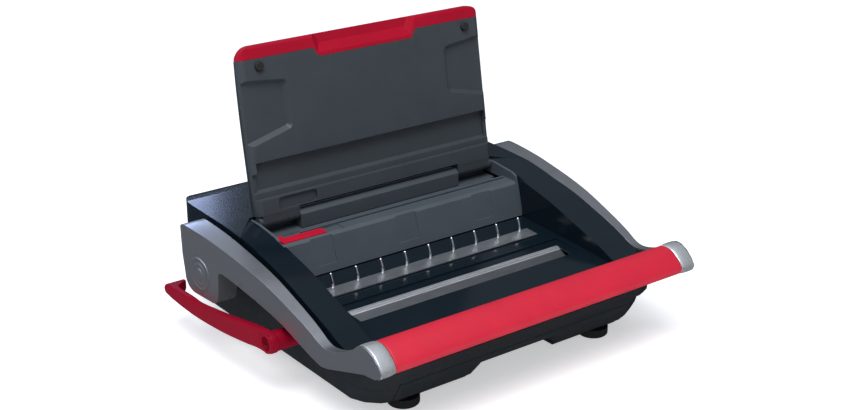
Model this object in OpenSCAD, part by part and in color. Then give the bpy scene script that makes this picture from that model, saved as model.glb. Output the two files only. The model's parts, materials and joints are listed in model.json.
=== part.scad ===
// Manual comb binding machine: punch at the back, comb opener in the well, lid, pull-down handle.
// Millimetres. X runs left to right, Y front to back, Z up from the table.

/* [Comb] */
// Distance between two punched holes
hole_pitch = 14.2875; // [14.2:0.0125:14.3]
// Number of punched holes
hole_count = 19; // [15:2:19]
// Number of comb hooks, one for every second ring
hook_count = 9; // [7:2:9]
// How far the hooks pull a comb open
comb_stroke = 13; // [10:0.5:13]

/* [Body] */
// Half of the width between the two side cheeks
well_half = 144.5; // [144:0.1:144.8]
// Half of the width over the cheeks and the rear cover
cheek_half = 175.5; // [174:0.1:176]
// Half of the width of the lower casing
casing_half = 165; // [163:0.5:167]
// Wall thickness of the moulded casings
wall = 2.6; // [2.2:0.1:2.8]
// Sideways slope of the cheek tops, in degrees
cheek_tilt = 6.5; // [4:0.5:7]

/* [Handle] */
// Half of the length of the soft grip
grip_half = 167.7; // [166:0.1:168]
// Inner face of the arms
arm_inner = 179.5; // [179:0.1:180]
// Outer face of the arms at the hook line
arm_outer = 195.2; // [194:0.1:196]
// How fast the arms widen towards the back
arm_flare = 0.0635; // [0.055:0.0005:0.065]

/* [Punch] */
// Length of one punched hole, along the paper edge
pin_w = 8; // [7:0.1:8]
// Height of one punched hole
pin_h = 3; // [2.8:0.1:3]
// Width of the slot that the paper drops into
slot_w = 3.6; // [3:0.1:3.8]
// Punch travel, which is also the throw of the eccentrics
throw = 8; // [7:0.1:8]

/* [Lid] */
// Lean of the open lid past upright, in degrees
lid_lean = 9.7; // [8:0.1:10]
// Half of the width of the lid
lid_half = 143.4; // [142:0.1:143.5]
// Length of the lid from its hinge line to its front edge
lid_long = 169; // [165:0.5:169]

/* [Hidden] */

$fn = 64;
eps = 0.01;
gap = 0.3;

// Middle of the whole machine's box, seen from the middle of the hook line
centre = [-5, 6.7, 0];

// Colours
black = "#17191d";
gloss = "#14181f";
slate = "#40464e";
silver = "#b9bdc4";
steel = "#a8abb0";
red = "#d3233c";
rubber = "#202225";

// Places of the turning parts, as [Y, Z]
arm_pivot = [97.4, 73.4];
lid_pivot = [86, 115];
lever_pivot = [-31, 53.5];
grip_core = [-159, 80.5];

// Shaft sizes
shaft_r = 6;
lever_shaft_r = 5;
rod_r = 2;
fit = 0.05;

// Levels
floor_z = 9;
belt_z = 30;
casing_top = 62;
shell_base = 62.2;
pin_z = 90;
slot_y = 57.6;

// Punch parts, front to back
die_front = 50;
guide_back = 67;
bar_front = 69;
bar_back = 75;
side_plate_x = 150;
guide_rod_x = 138.5;
guide_rod_r = 3;

// Eccentrics: the throw leans as far to one side of upright at rest as to the other when raised
handle_swing = 60;
ecc_r = throw + shaft_r + 0.6;
ecc_at = arm_pivot + throw * [-sin(handle_swing / 2), cos(handle_swing / 2)];
ecc_x = [-100, 0, 100];

// Rack and pinion under the deck, module 1
gear_module = 1;
gear_teeth = 15;
pitch_r = gear_module * gear_teeth / 2;
rack_x = [-96, 96];

function unit(v) = v / norm(v);
function left(v) = [-v.y, v.x];
function around(i, n) = (i + n) % n;

// Closed outline moved inwards by d; the outline runs anticlockwise
function inset(p, d) = let (n = len(p)) [
    for (i = [0 : n - 1])
        let (
            a = left(unit(p[i] - p[around(i - 1, n)])),
            b = left(unit(p[around(i + 1, n)] - p[i]))
        )
        p[i] + (a + b) * d / (1 + a * b)
];

// Bent sheet of thickness t on the left-hand side of an open line
function sheet_side(p, t) = let (n = len(p)) [
    for (i = [n - 1 : -1 : 0])
        let (
            a = left(unit(p[max(i, 1)] - p[max(i, 1) - 1])),
            b = left(unit(p[min(i + 1, n - 1)] - p[min(i + 1, n - 1) - 1]))
        )
        p[i] + (a + b) * t / (1 + a * b)
];
function sheet(p, t) = concat(p, sheet_side(p, t));

// Smooth open curve through a few points, n steps between two of them
function curve_at(a, b, c, d, t) =
    0.5 * (2 * b + (c - a) * t + (2 * a - 5 * b + 4 * c - d) * t * t + (3 * b - a - 3 * c + d) * t * t * t);
function curve(p, n = 4) = [
    for (i = [0 : len(p) - 2], k = [0 : n - 1])
        curve_at(p[max(i - 1, 0)], p[i], p[i + 1], p[min(i + 2, len(p) - 1)], k / n),
    p[len(p) - 1]
];
function loop(p, n = 4) = let (m = len(p)) [
    for (i = [0 : m - 1], k = [0 : n - 1])
        curve_at(p[around(i - 1, m)], p[i], p[around(i + 1, m)], p[around(i + 2, m)], k / n)
];
function arc(c, r, from, to, n = 8) = [
    for (i = [0 : n]) let (a = from + (to - from) * i / n) c + r * [cos(a), sin(a)]
];

// Everything is drawn from the hook line, then moved to the machine's own origin
module seat() {
    translate(-centre) children();
}

// Outline in the side view, given as [Y, Z], made solid from one X to another
module slab(p, x0, x1) {
    translate([x0, 0, 0]) rotate([90, 0, 90]) linear_extrude(x1 - x0) polygon(p);
}

// Outline in plan, made solid from one Z to another
module plate(p, z0, z1) {
    translate([0, 0, z0]) linear_extrude(z1 - z0) polygon(p);
}

// Round bar along X
module rod_x(at, r, x0, x1) {
    translate([x0, at.x, at.y]) rotate([0, 90, 0]) cylinder(r = r, h = x1 - x0);
}

// Round bar along Y
module rod_y(x, z, r, y0, y1) {
    translate([x, y1, z]) rotate([90, 0, 0]) cylinder(r = r, h = y1 - y0);
}

module box(from, to) {
    translate(from) cube(to - from);
}

module both_sides() {
    children();
    mirror([1, 0, 0]) children();
}

// ---- Lower casing ----

// Casing as [level, half width, front, radius of the front corners]
bowl = [
    [floor_z, 158, -121, 37], [15.5, 163, -130, 37], [22.5, 164.5, -134, 37], [33, casing_half, -140, 37],
    [43, casing_half, -144, 38], [49.5, casing_half, -148, 40], [52.5, casing_half, -157, 44],
    [55, casing_half, -160.5, 45], [casing_top, casing_half, -160.5, 45]
];
side_outline = concat(
    [for (i = [len(bowl) - 1 : -1 : 0]) [bowl[i][2], bowl[i][0]]],
    [[150, floor_z], [160, 13], [166, 34], [170.5, casing_top]]
);
front_outline = concat(
    [for (b = bowl) [b[1], b[0]]],
    [for (i = [len(bowl) - 1 : -1 : 0]) [-bowl[i][1], bowl[i][0]]]
);
plan_outline = concat(
    arc([casing_half - 45, -115.5], 45, -90, 0),
    arc([casing_half - 24, 146.5], 24, 0, 90),
    arc([-casing_half + 24, 146.5], 24, 90, 180),
    arc([-casing_half + 45, -115.5], 45, 180, 270)
);

// How far a rounded front corner reaches in the direction a, and its level
function reach(a) = [
    for (b = bowl) [(b[1] - b[3]) * cos(a) - (b[2] + b[3]) * sin(a) + b[3], b[0]]
];

module corner_form(a, d) {
    outline = concat(reach(a), [[-400, casing_top], [-400, floor_z]]);
    rotate([0, 0, -a]) rotate([90, 0, 0]) linear_extrude(700, center = true) polygon(inset(outline, d));
}

module casing_form(d) {
    intersection() {
        slab(inset(side_outline, d), -casing_half - 1, casing_half + 1);
        translate([0, 200, 0]) rotate([90, 0, 0]) linear_extrude(400) polygon(inset(front_outline, d));
        plate(inset(plan_outline, d), 0, 80);
        corner_form(22.5, d);
        corner_form(45, d);
        corner_form(67.5, d);
        mirror([1, 0, 0]) corner_form(22.5, d);
        mirror([1, 0, 0]) corner_form(45, d);
        mirror([1, 0, 0]) corner_form(67.5, d);
    }
}

// Space that the chip tray slides in, open to the front
tray_half = 138;
tray_floor = 13;
tray_top = 37;

module tray_way() {
    box([-tray_half - 1.2, -200, tray_floor - 0.8], [tray_half + 1.2, -60, tray_top + 1]);
}

module base_pan() {
    color(black) seat() difference() {
        intersection() {
            casing_form(0);
            box([-200, -200, 0], [200, 200, belt_z]);
        }
        intersection() {
            casing_form(wall);
            box([-200, -200, 0], [200, 200, 80]);
        }
        tray_way();
        finger_pull();
        foot_places() cylinder(r = 2, h = 40, center = true);
        corner_places() cylinder(r = 1.7, h = 40, center = true);
    }
}

module body_shell() {
    color(black) seat() difference() {
        intersection() {
            casing_form(0);
            box([-200, -200, belt_z + gap], [200, 200, casing_top]);
        }
        casing_form(wall);
        intersection() {
            box([-160, -158, casing_top - 8], [160, 165, casing_top + 8]);
            plate(inset(plan_outline, wall), 0, 80);
        }
        tray_way();
        rod_x(lever_pivot, 10.4, -200, -150);
    }
}

// ---- Feet and screws ----

foot_x = 115;
foot_front = -112;
foot_back = 128;

module foot_places() {
    for (x = [-foot_x, foot_x], y = [foot_front, foot_back]) translate([x, y, 0]) children();
}

module corner_places() {
    for (x = [-146.5, 146.5], y = [-60, 60, 135]) translate([x, y, 0]) children();
}

module feet() {
    color(rubber) seat() foot_places() difference() {
        union() {
            translate([0, 0, 1.5]) cylinder(r = 15, h = floor_z - 1.5);
            cylinder(r1 = 13.5, r2 = 15, h = 1.5, $fn = 96);
        }
        translate([0, 0, -eps]) cylinder(r = 5.4, h = 5);
        cylinder(r = 2, h = 30, center = true);
    }
}

module foot_screws() {
    color(steel) seat() foot_places() translate([0, 0, 2.2]) {
        cylinder(r = 4.6, h = 2.75);
        cylinder(r = 1.9, h = 9.9);
    }
}

// Screws that come up through the pan's floor, heads underneath
module casing_screws() {
    color(steel) seat() corner_places() {
        translate([0, 0, floor_z - 1.7]) cylinder(r = 2.9, h = 1.65);
        translate([0, 0, floor_z - 0.1]) cylinder(r = 1.6, h = 6.5);
    }
}

// ---- Deck ----

deck_line = curve([[-157.7, 57.6], [-150, 59.9], [-102, 63.6], [-57, 66.6], [-13, 68.9], [31, 70.3]], 3);
deck_t = 2.8;
recess_front = -66;
recess_back = -31;
// Slope of the deck under the hook strip
deck_slope = 0.045;

module deck() {
    color(gloss) seat() difference() {
        intersection() {
            slab(sheet(deck_line, -deck_t), -well_half + gap, well_half - gap);
            plate(inset(plan_outline, wall + 0.2), 40, 90);
        }
        slab([[recess_front, 64.9], [recess_back, 66.6], [recess_back, 80], [recess_front, 80]], -137, 137);
        box([-127.2, recess_front - 0.4, 50], [127.2, -41.6, 80]);
        for (x = rack_x) box([x - 8, -comb_stroke - 2.8, 50], [x + 8, 0.4, 80]);
    }
}

module document_rest() {
    line = [[-41.8, 64.4], [-42.6, 66.6], [-46.6, 66.4], [-47.6, 64.6], [-64.4, 57.5], [-65.3, 64.6]];
    color(silver) seat() slab(sheet(line, 0.8), -127, 127);
}

// ---- Cheeks and rear cover ----

cheek_line = [
    [-158, 59.6], [-150, 61.8], [-125, 64], [-112, 65.9], [-101, 69.6], [-86, 75.8], [-59, 84.6], [-42, 90.2],
    [-19, 97.4], [-5, 101.2], [17, 106.2], [38, 110.6], [58, 114], [76, 116.2], [94, 116.8]
];
cheek_seam = [[171, 65], [147, 93]];

// Room over a lip that closes the top parts' overhang, from their outer walls to the casing's rim
module above_lip() {
    box([-190, -200, shell_base + 1.8], [190, 200, 140]);
    plate(inset(plan_outline, 4), 0, 140);
}

module cheek_form(drop) {
    top = [for (p = curve(cheek_line, 3)) p - [0, drop]];
    rise = concat([[-158, 20], [94, 20]], [for (i = [len(top) - 1 : -1 : 0]) top[i]]);
    translate([well_half, 0, 100]) rotate([0, -cheek_tilt, 0]) translate([-well_half, 0, -100])
        slab(rise, well_half - 12, cheek_half + 12);
}

module cheek() {
    plan = concat(
        [[well_half, -150.8]],
        arc([cheek_half - 60, -98], 60, -61, 0),
        [[cheek_half, 59.8], cheek_seam[0], cheek_seam[1], [146.7, 93], [146.7, 31.6], [well_half, 31.6]]
    );
    room = [
        [well_half + wall, -144], [well_half + wall + 3, -142], [cheek_half - wall, -104],
        [cheek_half - wall, 120], [149.2, 120], [149.2, 29.2], [well_half + wall, 29.2]
    ];
    difference() {
        intersection() {
            cheek_form(0);
            plate(plan, shell_base, 140);
        }
        intersection() {
            cheek_form(wall);
            plate(room, 0, 140);
            above_lip();
        }
        intersection() {
            box([140, 46, 50], [cheek_half - wall, 120, 106]);
            above_lip();
        }
    }
}

module left_cheek() {
    color(gloss) seat() difference() {
        mirror([1, 0, 0]) cheek();
        rod_x(lever_pivot, 10, -190, -140);
    }
}

module right_cheek() {
    color(gloss) seat() cheek();
}

cover_line = [
    [176, shell_base], [184, 84], [189.2, 104], [190, 109.5], [189.3, 113.4], [187, 116.3], [183, 118.4],
    [177, 119.8], [165, 120.6],
    [131, 119.9], [96, 119.3], [68, 118], [60, 117.2]
];
cover_plan = concat(
    [[-147, 93.5], [147, 93.5], [171.3, 65.4], [cheek_half + 0.5, 60.2]],
    arc([cheek_half - 31.5, 158], 32, 0, 90, 12),
    arc([-cheek_half + 31.5, 158], 32, 90, 180, 12),
    [[-cheek_half - 0.5, 60.2], [-171.3, 65.4]]
);

cover_outline = concat(cover_line, [[60, shell_base]]);

module cover_form(outline, plan) {
    intersection() {
        slab(outline, -190, 190);
        plate(plan, 20, 140);
    }
}

module rear_cover() {
    // The hollow is open at the bottom, so its outline reaches further down
    inside = concat([[165, 30]], [for (p = inset(cover_outline, wall)) if (p.y > shell_base + 5) p], [[50, 30]]);
    color(gloss) seat() difference() {
        cover_form(cover_outline, cover_plan);
        intersection() {
            union() {
                cover_form(inside, inset(cover_plan, wall));
                box([-cheek_half + wall, 50, 50], [cheek_half - wall, 98, 113.5]);
            }
            above_lip();
        }
        rod_x(arm_pivot, 9, -190, 190);
    }
}

// ---- Punch housing ----

housing_half = 143.8;
housing_line = [[32, 71.2], [41.5, 103.5], [44.5, 106], [64, 106], [67, 101.8], [78.6, 101]];
housing_t = 1.9;
// Level of the edge guide's underside
guide_z = 105.2;
end_wall = [
    [32, 70.9], [92.6, 70.9], [92.6, 117], [79, 117], [49.5, 114], [43.6, 111.5]
];

// Three shallow finger scoops on the sloping front face
module scoops() {
    lean = atan2(41.5 - 32, 103.5 - 70.9);
    for (x = [-99, 0, 96]) translate([x, 32, 70.9]) rotate([-lean, 0, 0]) {
        translate([-12.5, -5, 8]) cube([25, 5.9, 40]);
    }
}

module punch_housing() {
    color(slate) seat() {
        housing_box();
        both_sides() box([97.3, 78.4, 99.1], [housing_half + 0.2, 97.6, 101]);
        box([-housing_half - 0.2, 95.8, 99.1], [housing_half + 0.2, 97.6, 112.8]);
    }
}

module housing_box() {
    difference() {
        union() {
            slab(sheet(housing_line, -housing_t), -housing_half - eps, housing_half + eps);
            both_sides() slab(end_wall, housing_half, 146.4);
        }
        both_sides() box([housing_half - 5, 47.3, 60], [150, 100, 104]);
        scoops();
        box([-142, slot_y, 90], [142, slot_y + slot_w, 120]);
        guide_way(0.15);
        rod_x(lid_pivot, rod_r + fit, -150, 150);
        rod_x(arm_pivot, 11, -150, 150);
    }
}

// Channel that the edge guide runs in
module guide_way(c) {
    box([-139.5 - c, 45 - c, guide_z - c], [-70, 57 + c, 120]);
    box([-139.5 - c, 50, guide_z - c], [-110, 63.8, 120]);
}

module hinge_cover() {
    front = 79.4;
    back = 93.2;
    shape = concat(
        [[front, 101], [back, 101]],
        arc([back - 3, 116], 3, 0, 90, 4),
        arc([lid_pivot.x, 113.8], 5.4, 90, 140, 4),
        [[front + 0.3, 115]]
    );
    color(slate) seat() difference() {
        slab(shape, -97, 97);
        slab([[front + 2.2, 98], [back - 2.2, 98], [back - 2.2, 108], [front + 2.2, 108]], -94.5, 94.5);
        rod_x(lid_pivot, rod_r + fit, -150, 150);
    }
}

module hinge_rod() {
    color(steel) seat() rod_x(lid_pivot, rod_r, -146.3, 146.3);
}

// ---- Punch frame ----

module hole_places() {
    for (i = [0 : hole_count - 1]) translate([(i - (hole_count - 1) / 2) * hole_pitch, 0, pin_z]) children();
}

module pin_holes(y0, y1) {
    hole_places() translate([0, (y0 + y1) / 2, 0]) cube([pin_w + 0.1, y1 - y0, pin_h + 0.1], center = true);
}

module frame_holes(y0, y1) {
    for (x = [-145, 145], z = [77, 93]) rod_y(x, z, 2.1, y0, y1);
}

module die_plate() {
    color(steel) seat() difference() {
        box([-side_plate_x, die_front, 73], [side_plate_x, slot_y, 103]);
        pin_holes(die_front - 1, slot_y + 1);
        frame_holes(die_front - 1, slot_y + 1);
    }
}

module guide_plate() {
    color(steel) seat() difference() {
        box([-side_plate_x, slot_y + slot_w, 73], [side_plate_x, guide_back, 98.8]);
        pin_holes(slot_y, guide_back + 1);
        frame_holes(slot_y, guide_back + 1);
        both_sides() rod_y(guide_rod_x, pin_z, guide_rod_r, slot_y, guide_back + 1);
    }
}

module paper_rest_bar() {
    color(steel) seat() difference() {
        box([-side_plate_x, slot_y, 73], [side_plate_x, slot_y + slot_w, 84]);
        frame_holes(slot_y - 1, slot_y + slot_w + 1);
    }
}

module guide_rods() {
    color(steel) seat() both_sides() rod_y(guide_rod_x, pin_z, guide_rod_r, slot_y + slot_w, 92);
}

module frame_screws() {
    color(steel) seat() for (x = [-145, 145], z = [77, 93]) {
        rod_y(x, z, 2, die_front, guide_back);
        rod_y(x, z, 3.4, die_front - 2.4, die_front);
    }
}

plate_outline = [
    [-46, 15.5], [116, 15.5], [116, 96], [108, 100], [40, 100], [20, 92], [-46, 70]
];
front_tie = [-20, 43];
rear_tie = [108, 43];

module side_plate() {
    difference() {
        slab(plate_outline, side_plate_x, side_plate_x + 3);
        rod_x(arm_pivot, 9, 140, 160);
        rod_x(lever_pivot, 7.5, 140, 160);
        rod_x(front_tie, 4, 140, 160);
        rod_x(rear_tie, 4, 140, 160);
    }
}

module left_side_plate() {
    color(steel) seat() mirror([1, 0, 0]) side_plate();
}

module right_side_plate() {
    color(steel) seat() side_plate();
}

module tie_rod(at) {
    rod_x(at, 5.5, -side_plate_x, side_plate_x);
    rod_x(at, 4, -side_plate_x - 5, side_plate_x + 5);
}

module front_tie_rod() {
    color(steel) seat() tie_rod(front_tie);
}

module rear_tie_rod() {
    color(steel) seat() tie_rod(rear_tie);
}

module shaft_bushes() {
    color("#b98d4a") seat() both_sides() difference() {
        union() {
            rod_x(arm_pivot, 9, 148.5, 155);
            rod_x(arm_pivot, 11, 147, 150);
        }
        rod_x(arm_pivot, shaft_r + fit, 140, 160);
    }
}

module lever_bushes() {
    color("#b98d4a") seat() both_sides() difference() {
        union() {
            rod_x(lever_pivot, 7.5, 148.5, 155);
            rod_x(lever_pivot, 8.6, 147, 150);
        }
        rod_x(lever_pivot, lever_shaft_r + fit, 140, 160);
    }
}

module tray_runners() {
    color(black) seat() both_sides() box([tray_half + 1.4, -56, floor_z + wall], [tray_half + 5, 80, tray_floor + 6]);
}

// ---- Chip tray ----

module chip_tray() {
    front = -95;
    color(black) seat() difference() {
        union() {
            box([-tray_half, front, tray_floor], [tray_half, 76, tray_top]);
            intersection() {
                casing_form(0.4);
                box([-tray_half, -170, tray_floor], [tray_half, front + eps, tray_top]);
            }
        }
        box([-tray_half + 2, front - eps, tray_floor + 2], [tray_half - 2, 74, tray_top + 5]);
        both_sides() intersection() {
            casing_form(3.4);
            box([57, -160, tray_floor + 2], [tray_half - 3, front, tray_top + 5]);
        }
        finger_pull();
    }
}

// Recess under the tray's front edge, and in the pan below it
module finger_pull() {
    pull = [[-54, 5], [54, 5], [54, 12], [46, 28.5], [-46, 28.5], [-54, 12]];
    translate([0, -99, 0]) rotate([90, 0, 0]) linear_extrude(100) polygon(pull);
}

// ---- Punch carriage ----

module punch_bar() {
    color(steel) seat() difference() {
        box([-146, bar_front, 82], [146, bar_back, 98]);
        both_sides() rod_y(guide_rod_x, pin_z, guide_rod_r + fit, 60, 80);
        for (x = ecc_x, z = [84.5, 95.5]) rod_y(x, z, 1.5, 60, 80);
    }
}

module punch_pins() {
    color(silver) seat() hole_places() translate([0, (54 + bar_front) / 2, 0])
        cube([pin_w, bar_front - 54, pin_h], center = true);
}

window = [ecc_at.x - ecc_r - 0.2, ecc_at.x + ecc_r + 0.2, ecc_at.y - ecc_r - 1.6, ecc_at.y + ecc_r + 1.25];

module yoke_plates() {
    ring = 3.6;
    top_ring = 2.4;
    color(steel) seat() for (x = ecc_x) difference() {
        box([x - 4, bar_back, window[2] - ring], [x + 4, window[1] + ring, window[3] + top_ring]);
        box([x - 5, window[0], window[2]], [x + 5, window[1], window[3]]);
    }
}

module yoke_screws() {
    color(steel) seat() for (x = ecc_x, z = [84.5, 95.5]) rod_y(x, z, 1.45, bar_front - 0.9, bar_back);
}

// ---- Handle ----

// Side view of an arm: top edge from back to front, then the lower edge back again
arm_top = [
    [128, 113.5], [124, 116.6], [104, 116.6], [73, 114.6], [44, 111], [15, 106.5], [-12, 101], [-39, 93],
    [-65, 84.4], [-81, 78], [-91, 73.2], [-101, 71], [-113, 73], [-124, 77], [-137, 84], [-145, 91]
];
arm_front = [[-150, 92.9], [-157, 92.6], [-165, 89.2], [-172.6, 82.6], [-176.6, 77], [-174.4, 71.6], [-168, 68.6]];
arm_low = [
    [-153, 67.4], [-116, 56.6], [-103, 52.6], [-93, 51.2], [-77, 55.4], [-59, 62.2], [-38, 69.6],
    [-22, 73.8], [6, 79.4], [34, 83.9]
];
arm_block = concat(
    [[58, 86.6]],
    arc([61, 82], 4, 80, 10, 4),
    arc([78, 61.5], 11, 190, 270, 6),
    arc([108, 66.5], 16, 270, 340, 6),
    [[127, 86]]
);
arm_outline = concat(arm_low, arm_block, curve(arm_top, 3), arm_front);

// Keeps what lies inside the outer face of the right arm
module arm_taper(inwards) {
    intersection() {
        children();
        translate([arm_outer - inwards, 0, 0]) rotate([0, 0, -atan(arm_flare)])
            box([-50, -250, 0], [0, 250, 200]);
    }
}

module arm() {
    difference() {
        arm_taper(0) slab(arm_outline, arm_inner, 215);
        arm_taper(2.2) slab(inset(arm_outline, 2.6), arm_inner - 1, 215);
        rod_x(arm_pivot, 8, 170, 215);
    }
}

// Flat steel bar inside each arm, from the drive shaft to the grip
bar_outline = [
    [-164, 73.5], [-150, 71.2], [-116, 60.8], [-103, 56.8], [-93, 55.4], [-77, 59.6], [-59, 66.4], [-38, 73.8],
    [-22, 78], [6, 83.4], [34, 88], [61, 90.5], [70, 84], [72, 62], [78, 55], [106, 55], [118, 64], [123, 86],
    [123, 112], [104, 113], [73, 111], [44, 107.4], [15, 102.9], [-12, 97.4], [-39, 89.4], [-65, 80.8],
    [-81, 74.4], [-91, 69.6], [-101, 67.4], [-113, 69.4], [-124, 73.4], [-137, 80.4], [-145, 87.4], [-155, 88.6],
    [-164, 85.4]
];

module lever_bar() {
    difference() {
        slab(bar_outline, 180, 182.5);
        rod_x(arm_pivot, shaft_r + fit, 170, 200);
        rod_x(grip_core, 4 + fit, 170, 200);
    }
}

module left_arm() {
    color(silver) seat() mirror([1, 0, 0]) arm();
}

module right_arm() {
    color(silver) seat() arm();
}

module left_lever() {
    color(steel) seat() mirror([1, 0, 0]) lever_bar();
}

module right_lever() {
    color(steel) seat() lever_bar();
}

module pivot_cap() {
    face = arm_outer + arm_flare * arm_pivot.x;
    difference() {
        union() {
            rod_x(arm_pivot, 7.9, 184, face + 0.4);
            rod_x(arm_pivot, 5, face, face + 1.4);
        }
        rod_x(arm_pivot, shaft_r + fit, 180, 193);
    }
}

module left_pivot_cap() {
    color(silver) seat() mirror([1, 0, 0]) pivot_cap();
}

module right_pivot_cap() {
    color(silver) seat() pivot_cap();
}

grip_outline = loop([
    [-141.6, 87], [-146, 91.4], [-156, 92.9], [-165, 89.4], [-173, 82.8], [-176.6, 77], [-174, 71.4],
    [-166, 68.6], [-152, 71], [-143, 79]
], 3);

module end_cap() {
    difference() {
        slab([for (i = [len(grip_outline) - 1 : -1 : 0]) grip_outline[i]], grip_half + 0.1, arm_inner - 0.1);
        rod_x(grip_core, 7 + fit, 160, 190);
    }
}

module left_end_cap() {
    color(silver) seat() mirror([1, 0, 0]) end_cap();
}

module right_end_cap() {
    color(silver) seat() end_cap();
}

module grip() {
    color(red) seat() difference() {
        slab(grip_outline, -grip_half, grip_half);
        slab(inset(grip_outline, 3), -grip_half - 1, grip_half + 1);
    }
}

module grip_tube() {
    color(steel) seat() {
        rod_x(grip_core, 7, -arm_inner + 0.1, arm_inner - 0.1);
        rod_x(grip_core, 4, -182.4, 182.4);
    }
}

module drive_shaft() {
    color(steel) seat() rod_x(arm_pivot, shaft_r, -190, 190);
}

module eccentrics() {
    color(steel) seat() for (x = ecc_x) difference() {
        rod_x(ecc_at, ecc_r, x - 5, x + 5);
        rod_x(arm_pivot, shaft_r, x - 6, x + 6);
    }
}

// ---- Comb opener ----

lever_flare = 0.035;
lever_outline = concat(
    arc(lever_pivot, 10.5, 120, 262, 8),
    curve([[-14, 42.5], [0, 40], [45, 34.4], [94, 32.2], [126, 33.8], [150, 37.4]], 3),
    [[151.5, 45.5]],
    curve([[149, 47.4], [135, 47.6], [106, 48.4], [92, 47.4], [45, 53.4], [-3, 61], [-16, 63]], 3)
);

module comb_lever() {
    turn = [0, 0, atan(lever_flare)];
    tip = [[143.5, 36.4], [150, 37.4], [151.5, 45.5], [149, 47.4], [143.5, 47.5]];
    color(red) seat() difference() {
        union() {
            translate([-198.8, lever_pivot.x, 0]) rotate(turn) translate([0, -lever_pivot.x, 0]) {
                slab(lever_outline, -8, 0);
                slab(tip, -8, 7);
            }
            rod_x(lever_pivot, 9.6, -203, -166);
        }
        rod_x(lever_pivot, 6, -220, -203.5);
        rod_x(lever_pivot, lever_shaft_r, -192, -150);
    }
}

module lever_shaft() {
    color(steel) seat() rod_x(lever_pivot, lever_shaft_r, -192, 156);
}

// Involute pinion, with a little play cut into each flank
base_r = pitch_r * cos(20);
function involute(r) = let (t = sqrt(max(0, r * r / (base_r * base_r) - 1))) t * 180 / PI - atan(t);
gear_play = 0.16;
half_tooth = 90 / gear_teeth - gear_play * 90 / (PI * pitch_r) + involute(pitch_r);
flank = [for (k = [0 : 5]) base_r + (pitch_r + 0.95 * gear_module - base_r) * k / 5];
gear_outline = [
    for (i = [0 : gear_teeth - 1]) let (mid = 90 + 360 * i / gear_teeth) each concat(
        [(pitch_r - 1.25 * gear_module) * [cos(mid - half_tooth), sin(mid - half_tooth)]],
        [for (r = flank) r * [cos(mid - half_tooth + involute(r)), sin(mid - half_tooth + involute(r))]],
        [for (k = [5 : -1 : 0]) let (r = flank[k], a = mid + half_tooth - involute(r)) r * [cos(a), sin(a)]],
        [(pitch_r - 1.25 * gear_module) * [cos(mid + half_tooth), sin(mid + half_tooth)]]
    )
];

module pinions() {
    color(steel) seat() for (x = rack_x) difference() {
        slab([for (p = gear_outline) p + lever_pivot], x - 4, x + 4);
        rod_x(lever_pivot, lever_shaft_r, x - 5, x + 5);
    }
}

// The rack's teeth hang down over the pinion, with a gap over its upright tooth
rack_z = lever_pivot.y + pitch_r;
rack_pitch = PI * gear_module;
rack_back = rack_z + 2.35;
rack_teeth = [
    for (i = [0 : 6]) let (
        y = lever_pivot.x + (i - 0.5) * rack_pitch,
        half = rack_pitch / 4 - gear_play / 2,
        lean = tan(20)
    ) each [
        [y + half - 0.95 * lean, rack_z - 0.95], [y - half + 0.95 * lean, rack_z - 0.95],
        [y - half - 1.25 * lean, rack_z + 1.25], [y + half + 1.25 * lean, rack_z + 1.25]
    ]
];

module rack_slides() {
    first = lever_pivot.x - 0.5 * rack_pitch;
    color(steel) seat() for (x = rack_x) {
        box([x - 3.5, first - 1.4, rack_z + 1.25], [x + 3.5, 0, rack_back]);
        box([x - 3.5, -2.4, rack_z + 1.25], [x + 3.5, 0, 69.9]);
        for (i = [0 : 6]) slab([for (k = [3 : -1 : 0]) rack_teeth[4 * i + k]], x - 3.5, x + 3.5);
    }
}

strip_half = 125;
strip_deep = 15.6;
strip_t = 1.2;

module hook_places() {
    for (i = [0 : hook_count - 1]) translate([(i - (hook_count - 1) / 2) * 2 * hole_pitch, 0, 0]) children();
}

module hook_strip() {
    color(steel) seat() difference() {
        translate([0, 0, 70.1]) rotate([atan(deck_slope), 0, 0])
            box([-strip_half, -strip_deep, 0], [strip_half, 1.4, strip_t]);
        hook_places() translate([0, 0, 60]) cylinder(r = 1.06, h = 20);
    }
}

module hooks() {
    foot_r = 1.05;
    tip_r = 0.9;
    bend_z = 76.6;
    color(silver) seat() hook_places() {
        translate([0, 0, 70.2]) cylinder(r = foot_r, h = bend_z - 70.2);
        translate([0, 0, bend_z - 0.8]) rotate([-24, 0, 0]) cylinder(r = tip_r, h = 9.2);
    }
}

// ---- Lid, drawn upright with its hinge line at the origin ----

panel_face = -6.2;
panel_t = 2.2;
notch_half = 97.6;

module lid_place() {
    seat() translate([0, lid_pivot.x, lid_pivot.y]) rotate([-lid_lean, 0, 0]) children();
}

// Back of the lid as [back, up]: thick near the hinge, thinner at the front edge
lid_back = curve([[4.4, 6.4], [6.8, 14], [7.2, 45], [7.2, 90], [6, 125], [4, 152], [1.8, lid_long]], 3);
groove = [
    [-12, 20.5], [panel_face, 21.6], [-2.2, 22.6], [-2.2, 28.2], [-0.4, 29], [1.6, 31], [1.6, 55.5],
    [-1, 58], [panel_face, 58.6], [-12, 60]
];
// Room for the ends of the punch housing, beside the groove
groove_end = [[-12, 20.5], [panel_face, 21.6], [-2.2, 22.6], [-2.2, 28.2], [-1, 29], [-1, 46.5], [-12, 51]];
trim_low = 156.5;
scoop_low = 147.5;

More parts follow.
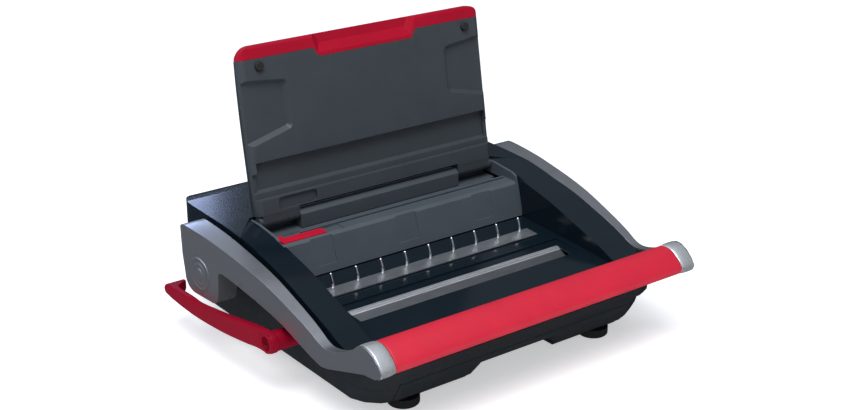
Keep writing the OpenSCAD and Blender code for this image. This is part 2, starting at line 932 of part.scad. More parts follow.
module lid_body(d) {
    low = 6.4 + d;
    high = lid_long - d;
    face = panel_face + d;
    edge_r = 7;
    top_r = 3.5;
    outline = concat(
        [[face, low]],
        [for (p = lid_back) [p.x - d, min(max(p.y, low), high)]],
        arc([panel_face + top_r, lid_long - top_r], top_r - d, 90, 180)
    );
    intersection() {
        slab(outline, -lid_half + d, lid_half - d);
        rotate([90, 0, 0]) linear_extrude(60, center = true) polygon(concat(
            [[-lid_half + d, -20], [lid_half - d, -20]],
            arc([lid_half - 14, lid_long - 14], 14 - d, 0, 90),
            arc([-lid_half + 14, lid_long - 14], 14 - d, 90, 180)
        ));
        linear_extrude(200) polygon(concat(
            [[lid_half - d, 20], [-lid_half + d, 20]],
            arc([-lid_half + edge_r, panel_face + edge_r], edge_r - d, 180, 270),
            arc([lid_half - edge_r, panel_face + edge_r], edge_r - d, 270, 360)
        ));
    }
}

// Split between the inner panel and the outer shell
split_y = 2.6;

module trim_zone(c) {
    edge = [
        [-200, trim_low + c], [-61, trim_low + c], [-55, scoop_low + c], [55, scoop_low + c], [61, trim_low + c],
        [200, trim_low + c], [200, 200], [-200, 200]
    ];
    rotate([90, 0, 0]) linear_extrude(60, center = true) polygon(edge);
}

// Pocket beside the edge of the lid, open to the side, with sloping walls
recess_deep = 4.6;
module side_recess() {
    outline = concat(
        arc([99.5, 90], 6, 180, 256, 4),
        [[150, 71.6], [150, 139]],
        arc([99.5, 127.4], 6, 95, 180, 4)
    );
    hull() {
        pane(panel_face - 1, inset(outline, -0.8));
        pane(panel_face + recess_deep, inset(outline, 4));
    }
}

// Small rounded pocket below the groove
module label_pocket() {
    outline = concat(
        arc([-80, 17], 4, 0, 90, 4),
        arc([-116, 17], 4, 90, 180, 4),
        arc([-116, 13], 4, 180, 270, 4),
        arc([-80, 13], 4, 270, 360, 4)
    );
    translate([0, panel_face + 3, 0]) rotate([90, 0, 0]) linear_extrude(20) polygon(outline);
}

module lid_panel() {
    color(slate) lid_place() difference() {
        union() {
            intersection() {
                lid_body(0);
                box([-200, -20, 0], [200, split_y, 200]);
            }
            both_sides() knuckle();
        }
        lid_hollow();
        slab(groove, -139, 139);
        both_sides() slab(groove_end, 138, lid_half + 1);
        both_sides() side_recess();
        label_pocket();
        trim_zone(0);
        barrel_room();
        rod_x([0, 0], rod_r + 0.06, -200, 200);
        both_sides() translate([122.5, panel_face - 4, 149]) rotate([-90, 0, 0]) cylinder(r = 3, h = 6);
    }
}

// Hinge knuckle beside the cover of the hinge
module knuckle() {
    rod_x([0, 0], 5.4, notch_half, lid_half - 1.4);
    slab([[-5.4, 0], [5.4, 0], [split_y, 6], [split_y, 9], [panel_face + 0.1, 9]], notch_half, lid_half - 5);
}

module barrel_room() {
    box([-notch_half, -20, -20], [notch_half, 20, 5.6]);
    box([-notch_half, -20, 0], [notch_half, 1.4, 8.6]);
    rod_x([0, 0], 6.2, -notch_half, notch_half);
}

// Hollow behind the inner panel, between its ribs
module lid_hollow() {
    intersection() {
        lid_body(3.6);
        union() {
            box([-134, panel_face + panel_t, 62], [134, 20, 69]);
            box([-90, panel_face + panel_t, 62], [90, 20, 145]);
        }
    }
}

module lid_shell() {
    color(gloss) lid_place() difference() {
        intersection() {
            lid_body(0);
            box([-200, split_y + 0.15, 0], [200, 30, 200]);
        }
        lid_body(1.8);
        trim_zone(0);
        barrel_room();
    }
}

module lid_trim() {
    color(red) lid_place() difference() {
        intersection() {
            lid_body(0);
            trim_zone(0.15);
        }
        finger_scoop();
    }
}

// Finger scoop in the front edge, with sloping walls
module finger_scoop() {
    hull() {
        pane(panel_face - 1, [[-57, 149.6], [57, 149.6], [63.5, 171], [-63.5, 171]]);
        pane(-0.6, [[-51, 160], [51, 160], [56, 171], [-56, 171]]);
    }
}

module pane(y, p) {
    translate([0, y, 0]) rotate([90, 0, 0]) linear_extrude(eps) polygon(p);
}

module lid_buffers() {
    color(rubber) lid_place() both_sides() translate([122.5, 0, 149]) rotate([90, 0, 0]) {
        translate([0, 0, -panel_face]) cylinder(r1 = 5, r2 = 4.2, h = 3, $fn = 64);
        translate([0, 0, -panel_face - 1.9]) cylinder(r = 2.95, h = 2);
    }
}

// ---- Edge guide ----

module edge_guide() {
    color(red) seat() {
        box([-138.6, 45.2, guide_z], [-89.8, 56.8, 107]);
        box([-138.6, 50, guide_z], [-131, 62, 107]);
        box([-138, slot_y + 0.4, 93.2], [-134, slot_y + slot_w - 0.4, guide_z + 1]);
        slab([[46, 107 - eps], [56, 107 - eps], [55.4, 107.7], [46.6, 107.7]], -115, -108);
    }
}

base_pan();
body_shell();
deck();
document_rest();
left_cheek();
right_cheek();
rear_cover();
punch_housing();
hinge_cover();
hinge_rod();
die_plate();
guide_plate();
paper_rest_bar();
guide_rods();
left_side_plate();
right_side_plate();
front_tie_rod();
rear_tie_rod();
shaft_bushes();
lever_bushes();
frame_screws();
feet();
foot_screws();
casing_screws();
tray_runners();
chip_tray();
punch_bar();
punch_pins();
yoke_plates();
yoke_screws();
drive_shaft();
eccentrics();
left_lever();
right_lever();
left_arm();
right_arm();
left_pivot_cap();
right_pivot_cap();
left_end_cap();
right_end_cap();
grip();
grip_tube();
comb_lever();
lever_shaft();
pinions();
hook_strip();
hooks();
rack_slides();
lid_panel();
lid_shell();
lid_trim();
lid_buffers();
edge_guide();
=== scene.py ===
"""Looks of a manual comb binding machine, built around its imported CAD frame. Units are metres."""

import json
import math

import bmesh
import bpy
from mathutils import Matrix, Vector


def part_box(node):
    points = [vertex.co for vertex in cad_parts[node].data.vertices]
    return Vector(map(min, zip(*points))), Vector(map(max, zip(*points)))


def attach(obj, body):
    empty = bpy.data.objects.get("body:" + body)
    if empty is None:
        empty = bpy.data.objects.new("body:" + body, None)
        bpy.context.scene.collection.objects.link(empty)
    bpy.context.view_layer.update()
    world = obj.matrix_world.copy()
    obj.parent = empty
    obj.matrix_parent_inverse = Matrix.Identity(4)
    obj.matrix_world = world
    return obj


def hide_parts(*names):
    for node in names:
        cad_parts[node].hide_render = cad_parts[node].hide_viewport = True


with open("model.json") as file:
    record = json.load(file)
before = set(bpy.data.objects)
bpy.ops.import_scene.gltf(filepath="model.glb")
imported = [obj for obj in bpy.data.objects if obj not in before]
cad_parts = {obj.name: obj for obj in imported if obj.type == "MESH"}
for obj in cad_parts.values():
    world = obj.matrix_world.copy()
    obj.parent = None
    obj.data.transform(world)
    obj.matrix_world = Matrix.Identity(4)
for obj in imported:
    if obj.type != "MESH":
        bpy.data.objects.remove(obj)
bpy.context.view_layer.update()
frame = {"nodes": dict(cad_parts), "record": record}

MM = 0.001
# Shapes are drawn from the middle of the hook line, which lies one wire radius behind the front of
# the hooks' box
CAD_WIRE_R = 1.05 * MM
hooks_low, hooks_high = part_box("hooks")
ORIGIN = Vector(((hooks_low.x + hooks_high.x) / 2, hooks_low.y + CAD_WIRE_R, 0))


def at(x, y, z):
    """Point given in millimetres from the middle of the hook line, as metres in the frame."""
    return ORIGIN + Vector((x, y, z)) * MM


# ---- Materials ----

WEAR_RADIUS = 0.9 * MM
WEAR_SAMPLES = 4
# How far a rounded normal agrees with the true one: where wear is full and where it ends
WEAR_TURN = (0.86, 0.985)


def shader_node(tree, kind, values=(), links=()):
    """Adds a shader node. Values and links are by socket."""
    node = tree.nodes.new(kind)
    for socket, value in dict(values).items():
        node.inputs[socket].default_value = value
    for socket, source in dict(links).items():
        tree.links.new(source, node.inputs[socket])
    return node


def scaled(colour, k):
    return tuple(c * k for c in colour)


class Finish:
    """A procedural material on the Principled shader, built up by small steps."""

    def __init__(self, name, metallic=0.0, coat=0.0, coat_rough=0.05, specular=0.5):
        self.material = bpy.data.materials.new(name)
        self.material.use_nodes = True
        self.tree = self.material.node_tree
        self.shader = self.tree.nodes["Principled BSDF"]
        self.shader.inputs["Metallic"].default_value = metallic
        self.shader.inputs["Coat Weight"].default_value = coat
        self.shader.inputs["Coat Roughness"].default_value = coat_rough
        self.shader.inputs["Specular IOR Level"].default_value = specular
        self.coords = self.node("ShaderNodeTexCoord").outputs["Object"]

    def node(self, kind, values=(), links=()):
        return shader_node(self.tree, kind, values, links)

    def noise(self, scale, detail=3.0, rough=0.5, stretch=(1, 1, 1)):
        place = self.node("ShaderNodeMapping", {"Scale": stretch}, {"Vector": self.coords})
        noise = self.node(
            "ShaderNodeTexNoise",
            {"Scale": scale, "Detail": detail, "Roughness": rough},
            {"Vector": place.outputs["Vector"]},
        )
        return noise.outputs["Fac"]

    def ranged(self, source, low, high, start=0.3, end=0.7):
        ramp = self.node(
            "ShaderNodeMapRange",
            {"From Min": start, "From Max": end, "To Min": low, "To Max": high},
            {"Value": source},
        )
        return ramp.outputs["Result"]

    def mixed(self, share, first, second):
        mix = self.node("ShaderNodeMix")
        mix.data_type = "RGBA"
        for name, value in (("A", first), ("B", second)):
            target = next(s for s in mix.inputs if s.name == name and s.type == "RGBA")
            if isinstance(value, bpy.types.NodeSocket):
                self.tree.links.new(value, target)
            else:
                target.default_value = (*value, 1)
        self.tree.links.new(share, mix.inputs["Factor"])
        return next(s for s in mix.outputs if s.type == "RGBA")

    def varied(self, source, colour, low, high):
        """The colour times a factor that goes from low to high with the source."""
        return self.mixed(self.ranged(source, 0, 1), scaled(colour, low), scaled(colour, high))

    def worn(self):
        """Share of wear: along edges only, broken up by noise."""
        soft = self.node("ShaderNodeBevel", {"Radius": WEAR_RADIUS})
        soft.samples = WEAR_SAMPLES
        true = self.node("ShaderNodeNewGeometry")
        agree = self.node(
            "ShaderNodeVectorMath", links={0: soft.outputs["Normal"], 1: true.outputs["Normal"]}
        )
        agree.operation = "DOT_PRODUCT"
        edge = self.ranged(agree.outputs["Value"], 1, 0, *WEAR_TURN)
        patches = self.ranged(self.noise(240, detail=4), 0.1, 1, 0.35, 0.65)
        share = self.node("ShaderNodeMath", links={0: edge, 1: patches})
        share.operation = "MULTIPLY"
        return share.outputs["Value"]

    def colour(self, source):
        self.tree.links.new(source, self.shader.inputs["Base Color"])

    def roughness(self, source):
        self.tree.links.new(source, self.shader.inputs["Roughness"])

    def bump(self, source, strength, distance):
        bump = self.node(
            "ShaderNodeBump", {"Strength": strength, "Distance": distance}, {"Height": source}
        )
        self.tree.links.new(bump.outputs["Normal"], self.shader.inputs["Normal"])

    def brush(self, rough):
        """Streaks along X in the roughness and the bump, given back for the colour."""
        streaks = self.noise(60, detail=5, rough=0.6, stretch=(1, 40, 40))
        self.roughness(self.ranged(streaks, rough * 0.8, rough * 1.35))
        self.bump(streaks, strength=0.3, distance=0.00002)
        return streaks


def moulded(name, colour, rough, grain=1500, depth=0.00006, worn=1.6, **more):
    """Moulded plastic: fine grain, soft blotches, edges rubbed to another shade."""
    f = Finish(name, **more)
    base = f.varied(f.noise(22, detail=5), colour, 0.94, 1.06)
    f.colour(f.mixed(f.worn(), base, scaled(colour, worn)))
    f.roughness(f.ranged(f.noise(90, detail=6, rough=0.65), rough * 0.85, rough * 1.18))
    f.bump(f.noise(grain, detail=2, rough=0.6), strength=0.35, distance=depth)
    return f.material


def glossy(name, colour, rough, **more):
    """Polished plastic under a clear coat: faint orange peel and dust."""
    f = Finish(name, **more)
    base = f.varied(f.noise(14, detail=4), colour, 0.95, 1.05)
    f.colour(f.mixed(f.worn(), base, scaled(colour, 1.3)))
    f.roughness(f.ranged(f.noise(18, detail=5, rough=0.6), rough * 0.88, rough * 1.15))
    f.bump(f.noise(40, detail=2), strength=0.02, distance=0.00005)
    return f.material


def brushed(name, colour, rough):
    """Satin metal, brushed along X."""
    f = Finish(name, metallic=1.0)
    f.colour(f.varied(f.brush(rough), colour, 0.82, 1.1))
    return f.material


def painted_shade_and_highlight(name, low, high, rough, start, end):
    """Brushed metal whose colour passes from low to high between two places along Y, as painted
    shade giving way to a painted highlight.
    """
    f = Finish(name, metallic=1.0)
    streaks = f.brush(rough)
    place = f.node("ShaderNodeSeparateXYZ", links={"Vector": f.coords})
    share = f.ranged(place.outputs["Y"], 0, 1, start, end)
    f.colour(f.mixed(share, f.varied(streaks, low, 0.85, 1.1), f.varied(streaks, high, 0.9, 1)))
    return f.material


def plated(name, colour, rough, spangle=0.15, metallic=1.0, worn=1.1):
    """Zinc or nickel plate with a faint spangle."""
    f = Finish(name, metallic=metallic)
    base = f.varied(f.noise(180, detail=3), colour, 1 - spangle, 1 + spangle / 2)
    f.colour(f.mixed(f.worn(), base, scaled(colour, worn)))
    dull, sharp = rough * (1 - 1.6 * spangle), rough * (1 + 2.6 * spangle)
    f.roughness(f.ranged(f.noise(120, detail=5), dull, sharp))
    f.bump(f.noise(900, detail=2), strength=0.8 * spangle, distance=0.00003)
    return f.material


def painted_silver(name, colour):
    """Satin silver paint: fine metal flakes in a clear base."""
    f = Finish(name, metallic=0.85, coat=0.3, coat_rough=0.16)
    flakes = f.noise(2600, detail=2, rough=0.7)
    base = f.varied(flakes, colour, 0.86, 1.12)
    f.colour(f.mixed(f.worn(), base, scaled(colour, 1.15)))
    f.roughness(f.ranged(f.noise(70, detail=6, rough=0.6), 0.27, 0.37))
    f.bump(flakes, strength=0.1, distance=0.00004)
    return f.material


MATERIALS = {
    "casing_black": moulded("casing_black", (0.020, 0.025, 0.030), 0.5, depth=0.00005),
    "gloss_black": glossy(
        "gloss_black", (0.005, 0.011, 0.017), 0.17, coat=0.1, coat_rough=0.12, specular=0.35
    ),
    "slate_plastic": moulded(
        "slate_plastic", (0.046, 0.056, 0.066), 0.5, grain=1250, depth=0.00008
    ),
    "silver_paint": painted_silver("silver_paint", (0.46, 0.47, 0.50)),
    "bright_cap": plated(
        "bright_cap", (0.90, 0.91, 0.93), 0.25, spangle=0.02, metallic=0.75, worn=0.96
    ),
    "red_grip": moulded(
        "red_grip", (0.66, 0.018, 0.045), 0.42, grain=900, worn=0.85, specular=0.42
    ),
    "red_plastic": glossy(
        "red_plastic", (0.39, 0.004, 0.022), 0.4, coat=0.04, coat_rough=0.2, specular=0.12
    ),
    "satin_steel": brushed("satin_steel", (0.50, 0.52, 0.54), 0.42),
    "frame_steel": plated("frame_steel", (0.55, 0.56, 0.58), 0.34),
    "bright_wire": plated("bright_wire", (0.86, 0.87, 0.89), 0.2),
    "bronze": plated("bronze", (0.50, 0.32, 0.12), 0.40),
    "foot_rubber": moulded("foot_rubber", (0.015, 0.015, 0.017), 0.75, grain=700, depth=0.0001),
}
# The document rest's colour has painted shade on its sloping front and a painted highlight on its
# rear lip: Y at the end of the slope and at the start of the lip
SLOPE_END = at(0, -48.6, 0).y
LIP_START = at(0, -47.8, 0).y
# Nodes whose finish differs a little from the rest of their slot; some are lighter or darker copies
# that paint in light or shade
VARIANTS = {
    # Painted light: a lighter copy of the slate plastic, standing in for light on the housing's
    # front
    "punch_housing": moulded(
        "slate_housing_painted_light", (0.077, 0.093, 0.110), 0.5, grain=1250, depth=0.00008
    ),
    "hinge_cover": moulded("slate_hinge", (0.060, 0.073, 0.086), 0.5, grain=1250, depth=0.00008),
    # Painted shade: a darker copy of the red plastic, standing in for the shade on the lever
    "comb_lever": glossy(
        "lever_red_painted_shade", (0.27, 0.0025, 0.018), 0.42, coat=0.02, coat_rough=0.2, specular=0.06
    ),
    "edge_guide": glossy(
        "guide_red", (0.56, 0.008, 0.033), 0.45, coat=0.02, coat_rough=0.2, specular=0.15
    ),
    "lid_shell": glossy(
        "shell_gloss", (0.030, 0.037, 0.045), 0.3, coat=0.15, coat_rough=0.1, specular=0.35
    ),
    # Painted shade: the plated hinge rod is made near black so that it shows no glint in the gap by
    # the hinge cover
    "hinge_rod": plated("rod_steel_painted_shade", (0.05, 0.052, 0.055), 0.5),
    # Painted shade on the rest's sloping front and a painted highlight on its rear lip, both in the
    # colour
    "document_rest": painted_shade_and_highlight(
        "rest_steel_painted_highlight", (0.20, 0.208, 0.22), (0.92, 0.93, 0.95), 0.42, SLOPE_END, LIP_START
    ),
}
SLOT_OF = {s["node"]: s["material_slot"] for s in frame["record"]["subparts"]}


def finish_of(node, slot):
    return VARIANTS.get(node, MATERIALS[slot])


# ---- CAD nodes: rounded edges and finishes ----

# Radii in millimetres
ROUNDING = {
    "base_pan": 1.2, "body_shell": 1.2, "deck": 0.9, "document_rest": 0.3, "left_cheek": 1.6,
    "right_cheek": 1.6, "rear_cover": 1.4, "punch_housing": 0.9, "hinge_cover": 0.4,
    "chip_tray": 1.0, "left_arm": 1.1, "right_arm": 1.1, "left_end_cap": 1.4,
    "right_end_cap": 1.4, "grip": 0.8, "comb_lever": 1.8, "lid_panel": 0.9, "lid_shell": 1.4,
    "lid_trim": 1.2, "edge_guide": 0.6, "feet": 0.8, "hook_strip": 0.3, "lid_buffers": 0.6,
    "left_pivot_cap": 0.8, "right_pivot_cap": 0.8,
}
INNER_ROUNDING = 0.3
ROUND_SEGMENTS = 3
# Angles between faces in degrees: up to the first they count as flat, from the second as an edge
FLAT_ANGLE = 0.6
EDGE_ANGLE = 28


def add(piece, kind, name, **settings):
    modifier = piece.modifiers.new(name, kind)
    for key, value in settings.items():
        setattr(modifier, key, value)


def rounded(piece, width):
    """Rounds the edges of a mesh whose faces are triangles that lie flat together."""
    add(piece, "WELD", "weld", merge_threshold=2e-6)
    add(
        piece, "DECIMATE", "flatten", decimate_type="DISSOLVE",
        angle_limit=math.radians(FLAT_ANGLE),
    )
    add(
        piece, "BEVEL", "round", width=width * MM, segments=ROUND_SEGMENTS, limit_method="ANGLE",
        angle_limit=math.radians(EDGE_ANGLE), use_clamp_overlap=True, miter_outer="MITER_ARC",
    )
    add(piece, "WEIGHTED_NORMAL", "normals", keep_sharp=True)


def smooth(mesh):
    mesh.polygons.foreach_set("use_smooth", [True] * len(mesh.polygons))


def paint(piece, material):
    piece.data.materials.clear()
    piece.data.materials.append(material)


for node, piece in frame["nodes"].items():
    paint(piece, finish_of(node, SLOT_OF[node]))
    smooth(piece.data)
    rounded(piece, ROUNDING.get(node, INNER_ROUNDING))


# ---- Pieces with a finer shape than their CAD node ----

# Sides of round wires, and of larger round shapes
WIRE_SIDES = 14
SPIN_STEPS = 64


def linked(name, data):
    """A new object of this data, put into the scene."""
    piece = bpy.data.objects.new(name, data)
    bpy.context.scene.collection.objects.link(piece)
    return piece


def solid_from(name, mesh_data):
    """A new object of this mesh, with its faces turned outward."""
    bmesh.ops.recalc_face_normals(mesh_data, faces=mesh_data.faces)
    mesh = bpy.data.meshes.new(name)
    mesh_data.to_mesh(mesh)
    mesh_data.free()
    return linked(name, mesh)


def piece_from(name, mesh_data, slot, body, node):
    """Finishes a new mesh and lets it stand for its CAD node."""
    piece = solid_from(name, mesh_data)
    smooth(piece.data)
    paint(piece, finish_of(node, slot))
    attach(piece, body)
    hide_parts(node)
    return piece


def skin(mesh_data, rings):
    """Quads between rings of points, each ring closed, with a face at both ends."""
    rows = [[mesh_data.verts.new(p) for p in ring] for ring in rings]
    for near, far in zip(rows, rows[1:]):
        for i in range(len(near)):
            j = (i + 1) % len(near)
            mesh_data.faces.new((near[i], near[j], far[j], far[i]))
    mesh_data.faces.new(rows[0][::-1])
    mesh_data.faces.new(rows[-1])


def circle(steps):
    """Angles that share out a full turn."""
    return [2 * math.pi * k / steps for k in range(steps)]


def between(table, y):
    """Smooth values at y from rows of (y, value, ...), which run from low to high y."""
    rows = [table[0]] + list(table) + [table[-1]]
    i = 1
    while i < len(rows) - 3 and rows[i + 1][0] < y:
        i += 1
    a, b, c, d = rows[i - 1:i + 3]
    t = min(max((y - b[0]) / (c[0] - b[0]), 0), 1)
    values = []
    for k in range(1, len(b)):
        m0 = (c[k] - a[k]) / max(c[0] - a[0], 1e-6) * (c[0] - b[0])
        m1 = (d[k] - b[k]) / max(d[0] - b[0], 1e-6) * (c[0] - b[0])
        values.append(
            (2 * t ** 3 - 3 * t ** 2 + 1) * b[k] + (t ** 3 - 2 * t ** 2 + t) * m0
            + (3 * t ** 2 - 2 * t ** 3) * c[k] + (t ** 3 - t ** 2) * m1
        )
    return values


# Middle line of a binding hook as (y, z), upward from its foot on the hook line
HOOK_LINE = [
    (0, 70.4), (0, 73.0), (0, 75.2), (0.12, 76.4), (0.5, 77.5), (1.0, 78.6), (1.9, 80.7),
    (2.8, 82.7), (3.3, 83.8),
]
HOOK_R = 1.35
HOOK_PITCH = 28.575
HOOK_COUNT = 9
# Degrees up the round end of a hook at which it has a ring
TIP_TURNS = (30, 60, 80)


def wire_ring(x, y, z, run, r):
    """Ring round a wire that runs square to X."""
    side = run.cross(Vector((1, 0, 0)))
    return [
        at(x + r * math.cos(a), y + r * math.sin(a) * side.y, z + r * math.sin(a) * side.z)
        for a in circle(WIRE_SIDES)
    ]


def hook_wires():
    mesh_data = bmesh.new()
    last = len(HOOK_LINE) - 1
    for n in range(HOOK_COUNT):
        x = (n - (HOOK_COUNT - 1) / 2) * HOOK_PITCH
        rings = []
        for i, (y, z) in enumerate(HOOK_LINE):
            before, after = HOOK_LINE[max(i - 1, 0)], HOOK_LINE[min(i + 1, last)]
            run = Vector((0, after[0] - before[0], after[1] - before[1])).normalized()
            rings.append(wire_ring(x, y, z, run, HOOK_R))
        y, z = HOOK_LINE[last]
        for turn in TIP_TURNS:
            ahead = HOOK_R * math.sin(math.radians(turn))
            r = HOOK_R * math.cos(math.radians(turn))
            rings.append(wire_ring(x, y + ahead * run.y, z + ahead * run.z, run, r))
        skin(mesh_data, rings)
    piece_from("hook_wires", mesh_data, "bright_wire", "hook_carriage", "hooks")


# Raised rings round an arm's pivot as (radius, height), from the middle out
PIVOT_RINGS = [
    (2.2, 1.5), (4.6, 1.45), (6.0, 1.1), (6.6, 0.5), (8.6, 0.35), (9.2, 0.9), (10.6, 0.95),
    (11.2, 0.3), (14.0, 0.15), (14.6, 0.75), (16.2, 0.8), (16.9, 0.0), (17.1, -0.6),
]
PIVOT = (97.4, 73.4)
# The rings stand this far off the arm's face
PIVOT_GAP = 0.02
# Outer face of an arm: its x at y = 0, and how much it flares outward per millimetre of y
ARM_OUTER = 195.2
ARM_FLARE = 0.0635


def pivot_boss(name, side, node):
    """Low boss with rings, lying on the flaring side of an arm."""
    mesh_data = bmesh.new()
    face_x = ARM_OUTER + ARM_FLARE * PIVOT[0]
    rings = []
    for r, height in PIVOT_RINGS:
        ring = []
        for a in circle(SPIN_STEPS):
            y = PIVOT[0] + r * math.cos(a)
            x = face_x + ARM_FLARE * (y - PIVOT[0]) + height + PIVOT_GAP
            ring.append(at(side * x, y, PIVOT[1] + r * math.sin(a)))
        rings.append(ring)
    skin(mesh_data, rings)
    piece_from(name, mesh_data, "silver_paint", "handle", node)


# Outline of the grip bar's end as (y, z), clockwise from the top of the arm
END_LINE = [
    (-141.6, 87.0), (-143.6, 89.6), (-146.4, 91.6), (-150.6, 92.7), (-155.6, 92.8),
    (-160.4, 91.6), (-165.0, 89.2), (-169.2, 86.0), (-173.0, 82.4), (-175.4, 79.4),
    (-176.3, 76.9), (-175.9, 74.2), (-174.0, 71.6), (-170.6, 69.7), (-166.0, 68.8),
    (-160.0, 69.1), (-153.0, 71.0), (-147.0, 74.6), (-143.2, 79.0), (-141.4, 83.2),
]
# Stations along a bright collar as (x, how far the outline is pulled in), outward from the grip
COLLAR = [
    (167.9, 0.9), (168.1, 0.35), (168.7, 0), (170, -0.3), (174, -0.8), (182.7, -0.8),
    (183.3, -0.6), (183.55, 0), (183.6, 1.2),
]
GRIP_HALF = 167.6
# The grip's rolled end as (distance from its end, how far the outline is pulled in)
GRIP_ROLL = [(0, 1.3), (0.25, 0.6), (0.8, 0.2), (1.8, 0.05)]
GRIP_MIDDLE = (150, 120, 80, 40, 0)
GRIP_CROWN = 0.05


def end_rings(stations):
    """The end outline at each station, pulled in towards its middle."""
    mid = Vector((sum(p[0] for p in END_LINE), sum(p[1] for p in END_LINE))) / len(END_LINE)
    rings = []
    for x, pulled in stations:
        ring = []
        for p in END_LINE:
            out = Vector(p) - mid
            q = mid + out * (1 - pulled / out.length)
            ring.append(at(x, q.x, q.y))
        rings.append(ring)
    return rings


def bar_piece(name, stations, slot, node):
    """A piece of the grip bar as a smooth skin over its stations."""
    mesh_data = bmesh.new()
    skin(mesh_data, end_rings(stations))
    piece = piece_from(name, mesh_data, slot, "handle", node)
    add(piece, "SUBSURF", "round", levels=2, render_levels=2)


def end_cap(name, side, node):
    """Bright collar between the grip and an arm, rolled in at its edges."""
    bar_piece(name, [(side * x, pulled) for x, pulled in COLLAR], "bright_cap", node)


def grip_sleeve():
    """Red sleeve, a little fuller in the middle of its length and rolled in at its ends."""
    half = [(GRIP_HALF - x, pulled) for x, pulled in GRIP_ROLL]
    for x in GRIP_MIDDLE:
        half.append((x, GRIP_CROWN - GRIP_CROWN * math.cos(math.pi * x / GRIP_HALF / 2)))
    stations = [(-x, pulled) for x, pulled in half] + half[-2::-1]
    bar_piece("grip_sleeve", stations, "red_grip", "grip")


# Comb lever's blade as (y, lower edge, upper edge, inward thickness)
LEVER_ROWS = [
    (-41.2, 51.0, 56.0, 8.0), (-39.6, 47.2, 59.8, 8.0), (-36.4, 44.6, 62.5, 8.0),
    (-31, 43.2, 63.9, 8.0), (-24, 42.8, 63.7, 8.0), (-14, 42.3, 62.6, 8.0),
    (0, 40.0, 60.6, 8.0), (22, 37.0, 56.9, 8.0), (45, 34.5, 53.3, 8.0), (70, 32.9, 49.9, 8.0),
    (92, 32.2, 47.5, 8.0), (106, 32.6, 48.2, 8.0), (122, 33.5, 48.1, 8.0),
    (134, 34.6, 47.8, 8.4), (140, 35.4, 47.6, 11.5), (144, 36.2, 47.5, 19.0),
    (148, 36.9, 47.3, 22.0), (150.6, 38.4, 46.6, 22.2), (151.4, 40.6, 44.8, 21.8),
]
LEVER_STEPS = 60
LEVER_CORNER_R = 2.2
# Outer face of the blade: its x at the hub, and how much it flares outward per millimetre of y
LEVER_FACE = 206.7
LEVER_FLARE = 0.035
LEVER_HUB = (-31, 53.5)
HUB_R = 9.6
HUB_HOLE_R = 6.8
# The blade is cut open over this stretch of x, a little narrower than the hub that fills the hole
HUB_CUT = (190, 215)
HUB_CUT_R = HUB_R - 0.05
# Hub as (x, radius), from the bottom of its blind hole round to the end in the body
HUB_LINE = [
    (202.7, 0.6), (202.7, HUB_HOLE_R), (207.2, HUB_HOLE_R), (207.5, HUB_HOLE_R + 0.3),
    (207.6, HUB_HOLE_R + 0.8), (207.5, HUB_R - 0.7), (207.1, HUB_R - 0.1), (206.6, HUB_R),
    (186, HUB_R), (167, HUB_R), (166.2, HUB_R - 0.8), (166.2, 5.4),
]


def lever_blade():
    """Blade as a loft of rounded rectangles, thicker inward at its tip."""
    mesh_data = bmesh.new()
    rings = []
    first, last = LEVER_ROWS[0][0], LEVER_ROWS[-1][0]
    for k in range(LEVER_STEPS + 1):
        y = first + (last - first) * (1 - math.cos(math.pi * k / LEVER_STEPS)) / 2
        low, high, thick = between(LEVER_ROWS, y)
        outer = LEVER_FACE + LEVER_FLARE * (y - LEVER_HUB[0])
        r = min(LEVER_CORNER_R, (high - low) / 2 - 0.1)
        ring = []
        for cx, cz, start in (
            (outer - r, high - r, 0), (outer - thick + r, high - r, 90),
            (outer - thick + r, low + r, 180), (outer - r, low + r, 270),
        ):
            for turn in (0, 30, 60, 90):
                a = math.radians(start + turn)
                ring.append(at(-(cx + r * math.cos(a)), y, cz + r * math.sin(a)))
        rings.append(ring)
    skin(mesh_data, rings)
    return mesh_data


def hub_ring(x, r):
    return [
        at(-x, LEVER_HUB[0] + r * math.cos(a), LEVER_HUB[1] + r * math.sin(a))
        for a in circle(SPIN_STEPS)
    ]


def less(mesh_data, cutter_data):
    """The first solid with the second one cut out of it."""
    solid = solid_from("solid", mesh_data)
    cutter = solid_from("cutter", cutter_data)
    add(solid, "BOOLEAN", "cut", operation="DIFFERENCE", solver="EXACT", object=cutter)
    left = bmesh.new()
    left.from_object(solid, bpy.context.evaluated_depsgraph_get())
    for piece in (solid, cutter):
        mesh = piece.data
        bpy.data.objects.remove(piece)
        bpy.data.meshes.remove(mesh)
    return left


def comb_lever():
    """Blade with the round hub in its cut-out."""
    cutter_data = bmesh.new()
    skin(cutter_data, [hub_ring(x, HUB_CUT_R) for x in HUB_CUT])
    mesh_data = less(lever_blade(), cutter_data)
    skin(mesh_data, [hub_ring(x, r) for x, r in HUB_LINE])
    piece = piece_from("lever_moulding", mesh_data, "red_plastic", "comb_lever", "comb_lever")
    add(piece, "WEIGHTED_NORMAL", "normals", keep_sharp=True)


hook_wires()
pivot_boss("left_pivot_boss", -1, "left_pivot_cap")
pivot_boss("right_pivot_boss", 1, "right_pivot_cap")
end_cap("left_collar", -1, "left_end_cap")
end_cap("right_collar", 1, "right_end_cap")
grip_sleeve()
comb_lever()


# ---- Studio: floor, light and camera ----

FLOOR_HALF = 30
SKY_LOW = (0.06, 0.07, 0.08, 1)
SKY_HIGH = (0.62, 0.68, 0.76, 1)
# The studio gets darker towards its right-hand side: from and to which X, and by how much
SHADE_X = (0.15, 0.8)
SHADE_LEVEL = (1.0, 0.15)
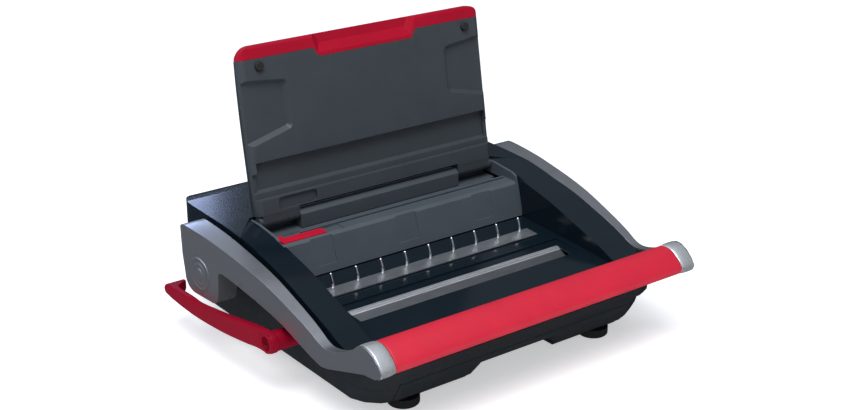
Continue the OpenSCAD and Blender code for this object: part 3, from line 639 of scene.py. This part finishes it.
# Name, place, target, size in metres, watts, colour
SOFTBOXES = [
    ("key", (-0.5, -0.6, 1.9), (0, 0, 0.1), (1.5, 1.1), 30, (1, 1, 1)),
    ("back", (0.98, 2.56, 1.20), (-0.16, 0.15, 0.12), (0.3, 0.25), 2.0, (0.5, 0.62, 1.0)),
    ("left", (-1.7, 0.9, 0.9), (0, 0.1, 0.1), (0.8, 0.8), 3.5, (0.75, 0.79, 1.0)),
]
CAMERA_AT = (-0.7858, -1.0528, 0.6450)
CAMERA_YAW = 37.067
CAMERA_PITCH = 21.553
CAMERA_LENS = 61.14
CAMERA_SENSOR = 36


def floor():
    h = FLOOR_HALF
    mesh = bpy.data.meshes.new("floor")
    mesh.from_pydata([(-h, -h, 0), (h, -h, 0), (h, h, 0), (-h, h, 0)], [], [(0, 1, 2, 3)])
    piece = linked("floor", mesh)
    f = Finish("floor", specular=0.2)
    f.colour(f.varied(f.noise(3), (1, 1, 1), 0.90, 0.92))
    f.shader.inputs["Roughness"].default_value = 0.8
    f.shader.inputs["Emission Color"].default_value = (1, 1, 1, 1)
    f.shader.inputs["Emission Strength"].default_value = 0.5
    piece.data.materials.append(f.material)
    piece.visible_glossy = False


def softbox(name, location, target, size, power, colour):
    light = bpy.data.lights.new(name, "AREA")
    light.shape = "RECTANGLE"
    light.size, light.size_y = size
    light.energy = power
    light.color = colour
    lamp = linked(name, light)
    lamp.location = location
    lamp.visible_camera = False
    aim = Vector(target) - Vector(location)
    lamp.rotation_euler = aim.to_track_quat("-Z", "Y").to_euler()


def studio():
    world = bpy.data.worlds.new("studio")
    bpy.context.scene.world = world
    world.use_nodes = True
    tree = world.node_tree
    sky = tree.nodes["Background"]
    coords = shader_node(tree, "ShaderNodeTexCoord")
    direction = shader_node(
        tree, "ShaderNodeSeparateXYZ", links={"Vector": coords.outputs["Generated"]}
    )
    ramp = shader_node(tree, "ShaderNodeValToRGB", links={"Fac": direction.outputs["Z"]})
    for element, colour in zip(ramp.color_ramp.elements, (SKY_LOW, SKY_HIGH)):
        element.color = colour
    tree.links.new(ramp.outputs["Color"], sky.inputs["Color"])
    shade = shader_node(
        tree, "ShaderNodeMapRange",
        {
            "From Min": SHADE_X[0], "From Max": SHADE_X[1],
            "To Min": SHADE_LEVEL[0], "To Max": SHADE_LEVEL[1],
        },
        {"Value": direction.outputs["X"]},
    )
    tree.links.new(shade.outputs["Result"], sky.inputs["Strength"])
    for box in SOFTBOXES:
        softbox(*box)
    bpy.context.scene.view_settings.view_transform = "Standard"


def camera():
    data = bpy.data.cameras.new("camera")
    data.lens = CAMERA_LENS
    data.sensor_width = CAMERA_SENSOR
    data.clip_start = 0.05
    eye = linked("camera", data)
    eye.location = CAMERA_AT
    eye.rotation_euler = (math.radians(90 - CAMERA_PITCH), 0, -math.radians(CAMERA_YAW))
    bpy.context.scene.camera = eye


floor()
studio()
camera()
